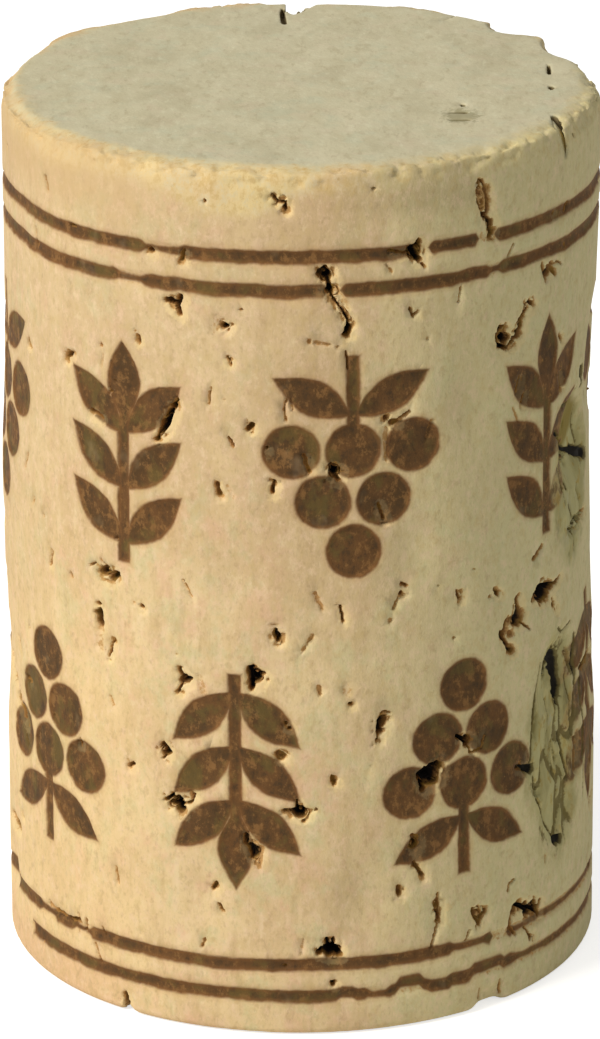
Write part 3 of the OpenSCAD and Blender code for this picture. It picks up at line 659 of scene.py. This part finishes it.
def noise(vector, cell, detail=3.0, roughness=0.5, shift=0.0):
    node = Sum.tree.nodes.new("ShaderNodeTexNoise")
    node.noise_dimensions = "4D"
    Sum.tree.links.new(stretched(vector, cell), node.inputs["Vector"])
    node.inputs["W"].default_value = shift
    node.inputs["Scale"].default_value = 1.0
    node.inputs["Detail"].default_value = detail
    node.inputs["Roughness"].default_value = roughness
    return Sum(node.outputs["Fac"])


def srgb(r, g, b):
    """A colour given as 0 to 255, as the shader takes it."""
    def linear(v):
        v = v / 255
        return v / 12.92 if v <= 0.04045 else ((v + 0.055) / 1.055) ** 2.4
    return (linear(r), linear(g), linear(b), 1.0)


def blend(amount, under, over):
    """Lays one colour over another by an amount. Each is a socket or a colour."""
    node = Sum.tree.nodes.new("ShaderNodeMix")
    node.data_type = "RGBA"
    factor = next(s for s in node.inputs if s.name == "Factor" and s.type == "VALUE")
    Sum.tree.links.new(amount.socket, factor)
    colours = [s for s in node.inputs if s.type == "RGBA"]
    for slot, colour in zip(colours, (under, over)):
        if isinstance(colour, bpy.types.NodeSocket):
            Sum.tree.links.new(colour, slot)
        else:
            slot.default_value = colour
    return next(s for s in node.outputs if s.type == "RGBA")


# ---------------------------------------------------------------- burnt marks in shader nodes
def leaf(across, along):
    """Distance outside a pointed leaf that grows from 0 to LEAF_L."""
    half = Sum.node("SINE", along * (math.pi / LEAF_L)) * (LEAF_W / 2)
    return highest(size_of(across) - half, 0 - along, along - LEAF_L)


def splayed_leaf(across, up, foot, angle):
    """A leaf that leans out from the stem, with its foot at this height."""
    s, c = math.sin(math.radians(angle)), math.cos(math.radians(angle))
    rise = up - foot
    return leaf(across * c - rise * s, across * s + rise * c)


def sprig(across, up):
    stem = highest(across - STEM_W / 2, 0 - up, up - (MOTIF_H - LEAF_L / 2))
    top = MOTIF_H - LEAF_L - LEAF_TUCK
    pitch = (top - LEAF_FOOT) / (LEAF_PAIRS - 1)
    leaves = [splayed_leaf(across, up, top - i * pitch, LEAF_SPLAY) for i in range(LEAF_PAIRS)]
    return lowest(stem, leaf(across, up - (MOTIF_H - LEAF_L)), *leaves)


def bunch(across, up):
    pitch = GRAPE_D + GRAPE_GAP
    rise = pitch * math.sin(math.radians(60))
    grapes_h = GRAPE_D + 2 * rise
    places = [(0, 0), (0.5, 1), (0, 2), (1, 2)]
    grapes = [
        length_of(across - x * pitch, up - (GRAPE_D / 2 + row * rise)) - GRAPE_D / 2
        for x, row in places
    ]
    stem = highest(across - STEM_W / 2, grapes_h - STEM_W - up, up - MOTIF_H)
    leaves = splayed_leaf(across, up, grapes_h + STEM_W / 2, BUNCH_SPLAY)
    return lowest(stem, leaves, *grapes)


def motif_row(angle, z, row_z, start, upright):
    """Distance outside a row of motifs, bunches and sprigs by turns."""
    step = 360 / MOTIF_COUNT
    turn = (angle - start) / step
    index = Sum.node("ROUND", turn)
    across = size_of(Sum.node("SINE", (turn - index) * math.radians(step)) * RADIUS)
    up = (z - row_z if upright else row_z - z) + MOTIF_H / 2
    odd = Sum.node("PINGPONG", index, 1.0)
    return bunch(across, up) * (1 - odd) + sprig(across, up) * odd


def window(value, start, end, soft=0.8):
    """1 from start to end, and 0 outside."""
    return ramp(value, start - soft, start + soft) - ramp(value, end - soft, end + soft)


def burnt_line(angle, z, mm, place, fades, strays, seed):
    """Distance outside one burnt line, which wavers, strays, thins and breaks."""
    waver = noise(mm, (2.6, 2.6, 50), 2, 0.5, seed) - 0.5
    swell = noise(mm, (1.6, 1.6, 50), 2, 0.5, seed + 0.5) - 0.5
    fade = swell * 0.5
    for start, end, amount in fades:
        fade = fade + window(angle, start, end) * amount
    z = z + waver * 0.3
    for start, end, rise in strays:
        z = z - window(angle, start, end) * rise
    return size_of(z - place) - LINE_W / 2 + fade * (LINE_W / 2 + 0.05)


def burnt(angle, z, mm):
    """Distance outside everything that is burnt in, in mm."""
    places = (HEIGHT - LINE_TOP, HEIGHT - LINE_TOP - LINE_PITCH, LINE_BOTTOM + LINE_PITCH, LINE_BOTTOM)
    middle = MIDDLE - ROWS_DROP
    step = 360 / MOTIF_COUNT
    turned = Sum.node("WRAP", angle, LINE_START + 360, LINE_START)
    gap = highest(LINE_START + 0.5 - turned, turned - (LINE_START + 360 - LINE_GAP)) * 0.2
    strays = ([], [], [], LINE_STRAYS)
    lines = [
        burnt_line(angle, z, mm, place, fades, stray, 20 + i)
        for i, (place, fades, stray) in enumerate(zip(places, LINE_FADES, strays))
    ]
    lines[-1] = highest(lines[-1], gap)
    rows = lowest(
        motif_row(angle, z, middle + ROW_PITCH / 2, ROWS_START, True),
        motif_row(angle, z, middle - ROW_PITCH / 2, ROWS_START + step / 2, False),
    )
    return lowest(*lines, rows)


# ---------------------------------------------------------------- bark material
class Bark:
    """What the colours are worked out from: places in mm, stored depths and noises."""

    def __init__(self, tree):
        Sum.tree = tree
        place = tree.nodes.new("ShaderNodeTexCoord").outputs["Object"]
        scale = tree.nodes.new("ShaderNodeVectorMath")
        scale.operation = "SCALE"
        scale.inputs["Scale"].default_value = 1 / MM
        tree.links.new(place, scale.inputs[0])
        mm = self.mm = scale.outputs[0]
        split = tree.nodes.new("ShaderNodeSeparateXYZ")
        tree.links.new(mm, split.inputs[0])
        self.x, self.y, self.z = (Sum(s) for s in split.outputs)
        self.radius = length_of(self.x, self.y)
        self.angle = Sum.node("ARCTAN2", self.x, 0 - self.y) * (180 / math.pi)
        # From -1 at the left edge to 1 at the right
        self.right = self.x / RADIUS
        self.depth, self.halo, self.crevice = (
            self.stored(name) for name in ("pore_depth", "pore_halo", "crevice_depth")
        )
        self.clouds = noise(mm, (3.2, 3.2, 4.5), 3, 0.55, 1)
        self.streaks = noise(mm, (0.6, 0.6, 3.2), 4, 0.6, 2)
        self.grain = noise(mm, (0.16, 0.16, 0.3), 3, 0.65, 3)
        self.pink = noise(mm, (1.3, 1.3, 1.8), 4, 0.65, 4)
        self.green = noise(mm, (1.5, 1.5, 2.0), 4, 0.65, 12)
        self.flecks = noise(mm, (0.35, 0.35, 0.5), 3, 0.6, 7)
        self.fine = noise(mm, (0.13, 0.13, 0.13), 2, 0.6, 13)
        self.rust = noise(mm, (0.45, 0.45, 0.6), 5, 0.75, 6)
        self.patches = noise(mm, (1.5, 1.5, 2.0), 3, 0.6, 9)
        # 1 where the bark is the rough flaw
        self.ragged_patch = (self.pink - 0.5) * 0.9 + (self.flecks - 0.5) * 0.4
        patches_at = [
            ((self.angle - a) / wide, (self.z - h) / tall) for a, h, wide, tall in ROUGH_COLOURS
        ]
        self.flaw = highest(*[
            ramp(length_of(u, v) + self.ragged_patch, 1.2, 0.75) for u, v in patches_at
        ])
        # 1 on the top face, up to a border that isn't sharp
        self.border = (self.pink - 0.5) * 1.6 + (self.flecks - 0.5) * 0.8
        edge = self.radius + self.border
        self.face = ramp(self.z, HEIGHT - 0.6, HEIGHT - 0.2) * ramp(edge, RADIUS - 0.2, RADIUS - 1.1)

    @staticmethod
    def stored(name):
        """A number that store() put on the vertices."""
        node = Sum.tree.nodes.new("ShaderNodeAttribute")
        node.attribute_name = name
        return Sum(node.outputs["Fac"])


def plain_bark(b):
    """Pale and warm, in yellow, pink and green clouds, with faint upright streaks and flecks."""
    right, z = b.right, b.z
    colour = blend(ramp(b.clouds, 0.35, 0.68), srgb(238, 210, 160), srgb(222, 190, 143))
    colour = blend(ramp(b.pink, 0.5, 0.66, 0, 0.6), colour, srgb(234, 190, 154))
    colour = blend(ramp(b.green, 0.5, 0.66, 0, 0.6), colour, srgb(212, 204, 154))
    colour = blend(ramp(b.streaks, 0.48, 0.68, 0, 0.38), colour, srgb(196, 164, 118))
    colour = blend(ramp(b.streaks, 0.42, 0.3, 0, 0.4), colour, srgb(246, 222, 178))
    # Painted shade: greener towards the right, most at the front, as the colour cast of the shaded right side
    painted_shade_tint = ramp(right, -0.14, 0.77, 0, 0.75) * ramp(b.y, RADIUS * 0.7, 0, 0.4, 1)
    colour = blend(painted_shade_tint, colour, srgb(220, 212, 158))
    # Yellower low on the left, and browner high up on it
    colour = blend(ramp(right, -0.34, -0.7, 0, 0.45) * ramp(z, 24, 12), colour, srgb(250, 216, 156))
    colour = blend(ramp(right, 0.4, -0.4, 0, 0.45) * ramp(z, 18, 28), colour, srgb(212, 184, 142))
    # Darker in a few places: below the rim, in the middle, at the left edge and at its foot
    below_rim = ramp(right, 0.08, 0.26) * ramp(right, 0.66, 0.5) * ramp(z, 34.9, 35.8, 0, 0.4)
    colour = blend(below_rim, colour, srgb(178, 162, 118))
    middle = ramp(right, -0.3, -0.05) * ramp(right, 0.35, 0.1)
    colour = blend(middle * ramp(z, 15, 21, 0, 0.4), colour, srgb(204, 172, 130))
    left_edge = ramp(right, -0.75, -0.9, 0, 0.5) * ramp(z, 14, 18) * ramp(z, 30, 26)
    colour = blend(left_edge, colour, srgb(222, 192, 144))
    colour = blend(ramp(right, -0.4, -0.8, 0, 0.6) * ramp(z, 2.6, 1.0), colour, srgb(226, 184, 142))
    colour = blend(ramp(b.flecks, 0.54, 0.68, 0, 0.24), colour, srgb(170, 136, 90))
    colour = blend(ramp(b.flecks, 0.44, 0.3, 0, 0.28), colour, srgb(250, 228, 184))
    colour = blend(ramp(b.rust, 0.5, 0.64, 0, 0.32), colour, srgb(210, 182, 120))
    colour = blend(ramp(b.rust, 0.5, 0.36, 0, 0.32), colour, srgb(250, 216, 182))
    return blend(ramp(b.grain, 0.5, 0.25, 0, 0.2), colour, srgb(140, 112, 76))


def with_flaw(b, colour):
    """Lays the rough flaws over the bark: a grey-green crust, and an olive patch in the upper one."""
    plates = noise(b.mm, (0.9, 0.9, 3.0), 3, 0.6, 11)
    crust = blend(ramp(plates, 0.4, 0.6), srgb(190, 182, 126), srgb(168, 158, 102))
    crust = blend(ramp(b.green, 0.5, 0.64, 0, 0.7), crust, srgb(208, 194, 132))
    crust = blend(ramp(b.pink, 0.53, 0.68, 0, 0.6), crust, srgb(176, 172, 138))
    crust = blend(ramp(plates, 0.6, 0.68, 0, 0.6), crust, srgb(104, 92, 50))
    crust = blend(ramp(b.flecks, 0.57, 0.68, 0, 0.5), crust, srgb(124, 108, 62))
    colour = blend(b.flaw * 0.9, colour, crust)
    specks = ramp(b.flecks * 0.6 + b.streaks * 0.4, 0.52, 0.6, 0, 0.6)
    colour = blend(b.flaw * specks, colour, srgb(186, 160, 82))
    off = length_of((b.angle - 67) / 7, (b.z - 24.1) / 1.1)
    olive = ramp(off + b.ragged_patch * 0.5, 1.2, 0.8)
    return blend(olive * 0.9, colour, srgb(140, 120, 50))


def with_top(b, colour):
    """Lays the top face over the bark: greyer, with faint growth rings across and one smear."""
    rings = noise(b.mm, (0.9, 1.6, 4), 4, 0.65, 8)
    blotches = noise(b.mm, (1.8, 3.2, 4), 4, 0.6, 14)
    specked = noise(b.mm, (0.3, 0.7, 0.7), 3, 0.6, 15)
    top = blend(ramp(rings, 0.35, 0.68), srgb(213, 204, 170), srgb(204, 194, 159))
    top = blend(ramp(b.pink, 0.5, 0.66, 0, 0.35), top, srgb(214, 196, 166))
    top = blend(ramp(b.green, 0.5, 0.66, 0, 0.4), top, srgb(198, 200, 170))
    top = blend(ramp(blotches, 0.53, 0.68, 0, 0.5), top, srgb(192, 182, 148))
    top = blend(ramp(blotches, 0.46, 0.34, 0, 0.5), top, srgb(222, 212, 178))
    top = blend(ramp(specked, 0.52, 0.7, 0, 0.45), top, srgb(182, 168, 132))
    top = blend(ramp(specked, 0.46, 0.3, 0, 0.4), top, srgb(226, 220, 188))
    off = length_of((b.x - 6.6) / 0.9, (b.y + 5) / 1.25)
    smear = ramp(off + (b.flecks - 0.5) * 1.5 + (b.fine - 0.5), 1.0, 0.5)
    top = blend(smear * 0.65, top, srgb(146, 138, 102))
    return blend(b.face, colour, top)


def with_rim(b, colour):
    """Lays the worn cream rim over the bark, lower at the front left and fainter at the back."""
    front_left = ramp(b.right, -0.45, -0.3) * ramp(b.right, 0.02, -0.14)
    level = b.z + b.border * 0.5 + front_left * 0.9
    cream = ramp(level, HEIGHT - 1.4, HEIGHT - 0.6)
    cream = cream * ramp(b.radius + b.border, RADIUS - 1.4, RADIUS - 0.6)
    cream = cream * ramp(b.right, 0.35, -0.05, 0.35, 1) * ramp(b.y, 4, -6, 0.35, 1)
    colour = blend(cream * ramp(b.clouds, 0.3, 0.6, 0.8, 0.35), colour, srgb(244, 220, 156))
    colour = blend(cream * ramp(b.flecks, 0.56, 0.7, 0, 0.4), colour, srgb(212, 174, 106))
    crumbs = ramp(b.pink * 0.5 + b.flecks * 0.5, 0.6, 0.66, 0, 0.5)
    colour = blend(cream * crumbs, colour, srgb(160, 124, 72))
    colour = blend(cream * ramp(b.rust, 0.5, 0.61, 0, 0.5), colour, srgb(206, 172, 112))
    colour = blend(cream * ramp(b.rust, 0.5, 0.39, 0, 0.4), colour, srgb(216, 206, 170))
    upper_left = ramp(b.right, -0.3, -0.75, 0, 0.55) * ramp(b.z, 34.2, 35.6) * (1 - b.face)
    return blend(upper_left, colour, srgb(212, 179, 130))


def ink_on(b, distance):
    """1 where the bark is burnt, and less in the flaw, where burnt crumbs have come off."""
    on_side = ramp(b.radius, RADIUS - 1.4, RADIUS - 1.1)
    return ramp(distance, 0.1, -0.06) * on_side * (1 - b.flaw * ramp(b.flecks, 0.4, 0.6, 0.15, 0.9))


def with_marks(b, colour, distance, ink):
    """Lays the burnt marks over the bark: brown, mottled, with soft uneven edges."""
    brown = blend(ramp(b.patches, 0.35, 0.65), srgb(76, 51, 22), srgb(102, 67, 32))
    brown = blend(ramp(b.rust, 0.5, 0.62, 0, 0.7), brown, srgb(146, 104, 58))
    brown = blend(ramp(b.rust, 0.49, 0.34, 0, 0.8), brown, srgb(54, 38, 18))
    brown = blend(ramp(b.green, 0.5, 0.62, 0, 0.6), brown, srgb(100, 84, 38))
    brown = blend(ramp(distance, -0.22, 0.02, 0, 0.6), brown, srgb(132, 86, 44))
    scorched = ramp(distance, 0.3, 0.05, 0, 0.25) * ramp(b.radius, RADIUS - 1.4, RADIUS - 1.1)
    colour = blend(scorched, colour, srgb(192, 146, 92))
    return blend(ink * ramp(b.patches, 0.25, 0.4, 0.8, 0.97), colour, brown)


def with_pores(b, colour, ink):
    """Lays the pores over the bark: cream lips, partly a painted highlight on their lower right, rust inside,
    and nearly black where deep, partly painted shade. They are olive in the flaw and near the ends, and
    darker with depth there, partly painted shade."""
    ends = ramp(b.z, HEIGHT - 1.2, HEIGHT - 0.5)
    crumb = (b.flecks - 0.5) * 0.2 + (b.fine - 0.5) * 0.26
    ragged = b.depth * ramp(b.right, 0.4, 0.9, 1, 1.7) + crumb
    rusty = (1 - b.flaw) * (1 - ends)
    # Cream lips round the pores, mostly on their lower right: partly their real pale rim and partly a painted
    # highlight where the walls catch the light from the upper left
    lip_and_highlight = ramp(b.halo + (b.fine - 0.5) * 0.7 + (b.flecks - 0.5) * 0.8, 0.15, 0.45)
    lip_and_highlight = lip_and_highlight * rusty * (1 - ink * 0.7)
    colour = blend(lip_and_highlight * ramp(b.patches, 0.35, 0.6, 0.2, 0.45), colour, srgb(250, 222, 160))
    colour = blend(rusty * ramp(ragged - ink * 0.08, 0.06, 0.14, 0, 0.75), colour, srgb(188, 138, 72))
    colour = blend(rusty * ramp(ragged, 0.14, 0.3, 0, 0.85), colour, srgb(130, 88, 42))
    yellow = ramp(b.rust, 0.45, 0.6) * ramp(ragged, 0.14, 0.3, 0, 0.75)
    colour = blend(rusty * yellow, colour, srgb(158, 124, 52))
    # Pits near the ends: grey-green when shallow and darker brown deeper. The grey-green is their colour, and
    # the darkening with depth is partly painted shade
    colour = blend(ramp(b.depth, 0.03, 0.1, 0, 0.9) * ends, colour, srgb(146, 136, 96))
    colour = blend(ramp(b.depth, 0.06, 0.14, 0, 0.7) * ends, colour, srgb(112, 92, 62))
    # Nearly black with depth: partly the pores' dark inside and partly painted shade in the pits
    black_and_shade = ramp(ragged - b.flaw * 0.4, 0.34, 0.7) * (1 - ends * 0.85)
    colour = blend(black_and_shade, colour, srgb(24, 17, 11))
    colour = blend(ramp(b.crevice + crumb, 0.07, 0.2, 0, 0.85), colour, srgb(112, 98, 52))
    # Nearly black deep in the crevices: partly dark bark and partly painted shade for the depth not cut into
    # the skin
    return blend(ramp(b.crevice + crumb, 0.24, 0.55), colour, srgb(26, 22, 12))


def make_bark():
    """The bark's material: mottled pale bark, brown marks burnt in, and dark pores."""
    material = bpy.data.materials.new("cork_bark")
    material.use_nodes = True
    tree = material.node_tree
    b = Bark(tree)
    colour = with_rim(b, with_top(b, with_flaw(b, plain_bark(b))))
    rough_edge = (noise(b.mm, (0.7, 0.7, 0.7), 3, 0.6, 5) - 0.5) * 0.2
    distance = burnt(b.angle, b.z, b.mm) + rough_edge
    ink = ink_on(b, distance)
    colour = with_pores(b, with_marks(b, colour, distance, ink), ink)

    shader = tree.nodes["Principled BSDF"]
    tree.links.new(colour, shader.inputs["Base Color"])
    rough = ramp(b.grain, 0.2, 0.8, 0.75, 0.95, smooth=False)
    tree.links.new(rough.socket, shader.inputs["Roughness"])
    shader.inputs["Specular IOR Level"].default_value = 0.25
    bump = tree.nodes.new("ShaderNodeBump")
    bump.inputs["Strength"].default_value = 0.3
    bump.inputs["Distance"].default_value = 0.1 * MM
    tree.links.new((b.grain * 0.4 + b.flecks).socket, bump.inputs["Height"])
    tree.links.new(bump.outputs["Normal"], shader.inputs["Normal"])
    return material


# ---------------------------------------------------------------- stage, in metres and radians
CAMERA_PLACE = (0, -0.2615, 0.1157)
CAMERA_TILT = 0.357
CAMERA_ROLL = -0.005
CAMERA_LENS = 229.05
KEY_PLACE = (-0.329, -0.239, 0.39)
KEY_SIZE = 0.22
KEY_POWER = 2.3
KEY_COLOUR = (1.0, 0.965, 0.9)
WORLD_COLOUR = (0.97, 0.99, 1.0, 1.0)
WORLD_STRENGTH = 0.31
FLOOR_COLOUR = (0.8, 0.79, 0.77, 1.0)
FLOOR_REACH = 2.0
# How far the floor lies under the cork, and how much it glows for the camera
FLOOR_DROP = 0.00002
FLOOR_GLOW = 0.68


def make_camera():
    """On the -Y side, looking down at the cork."""
    data = bpy.data.cameras.new("camera")
    data.sensor_width = 36.0
    data.lens = CAMERA_LENS
    data.clip_start = 0.01
    data.clip_end = 10.0
    camera = bpy.data.objects.new("camera", data)
    tilt = Matrix.Rotation(math.pi / 2 - CAMERA_TILT, 4, "X")
    roll = Matrix.Rotation(CAMERA_ROLL, 4, "Z")
    camera.matrix_world = Matrix.Translation(Vector(CAMERA_PLACE)) @ tilt @ roll
    bpy.context.scene.collection.objects.link(camera)
    bpy.context.scene.camera = camera


def make_key_light():
    """One round soft lamp at the upper left, aimed at the middle of the cork."""
    data = bpy.data.lights.new("key", "AREA")
    data.shape = "DISK"
    data.size = KEY_SIZE
    data.energy = KEY_POWER
    data.color = KEY_COLOUR
    lamp = bpy.data.objects.new("key", data)
    lamp.location = KEY_PLACE
    aim = Vector((0, 0, MIDDLE * MM)) - Vector(KEY_PLACE)
    lamp.rotation_mode = "QUATERNION"
    lamp.rotation_quaternion = aim.to_track_quat("-Z", "Y")
    bpy.context.scene.collection.objects.link(lamp)


def seen_directly(tree):
    """1 for what the camera, a reflection or a refraction sees, and 0 for what lights the cork."""
    Sum.tree = tree
    path = tree.nodes.new("ShaderNodeLightPath")
    return highest(Sum(path.outputs["Is Camera Ray"]), Sum(path.outputs["Is Glossy Ray"]),
                   Sum(path.outputs["Is Transmission Ray"]))


def make_world():
    world = bpy.data.worlds.new("studio")
    bpy.context.scene.world = world
    world.use_nodes = True
    tree = world.node_tree
    fill = tree.nodes["Background"]
    fill.inputs["Color"].default_value = WORLD_COLOUR
    fill.inputs["Strength"].default_value = WORLD_STRENGTH
    white = tree.nodes.new("ShaderNodeBackground")
    white.inputs["Color"].default_value = (1, 1, 1, 1)
    mix = tree.nodes.new("ShaderNodeMixShader")
    tree.links.new(seen_directly(tree).socket, mix.inputs["Fac"])
    tree.links.new(fill.outputs[0], mix.inputs[1])
    tree.links.new(white.outputs[0], mix.inputs[2])
    tree.links.new(mix.outputs[0], tree.nodes["World Output"].inputs["Surface"])


def make_floor():
    """A wide pale floor that looks white to the camera and keeps the cork's shadow."""
    mesh = bpy.data.meshes.new("floor")
    corners = [(x * FLOOR_REACH, y * FLOOR_REACH, 0) for x, y in ((-1, -1), (1, -1), (1, 1), (-1, 1))]
    mesh.from_pydata(corners, [], [(0, 1, 2, 3)])
    floor = bpy.data.objects.new("floor", mesh)
    floor.location.z = -FLOOR_DROP
    bpy.context.scene.collection.objects.link(floor)
    material = bpy.data.materials.new("floor")
    material.use_nodes = True
    tree = material.node_tree
    shader = tree.nodes["Principled BSDF"]
    shader.inputs["Base Color"].default_value = FLOOR_COLOUR
    shader.inputs["Roughness"].default_value = 0.8
    shader.inputs["Specular IOR Level"].default_value = 0.0
    glow = tree.nodes.new("ShaderNodeEmission")
    tree.links.new((seen_directly(tree) * FLOOR_GLOW).socket, glow.inputs["Strength"])
    both = tree.nodes.new("ShaderNodeAddShader")
    tree.links.new(shader.outputs[0], both.inputs[0])
    tree.links.new(glow.outputs[0], both.inputs[1])
    tree.links.new(both.outputs[0], tree.nodes["Material Output"].inputs["Surface"])
    mesh.materials.append(material)


make_camera()
make_world()
make_floor()
make_key_light()

cork = make_cork()
cork.data.materials.clear()
cork.data.materials.append(make_bark())
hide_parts("cork")
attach(cork, "root")

bpy.context.scene.view_settings.view_transform = "Standard"
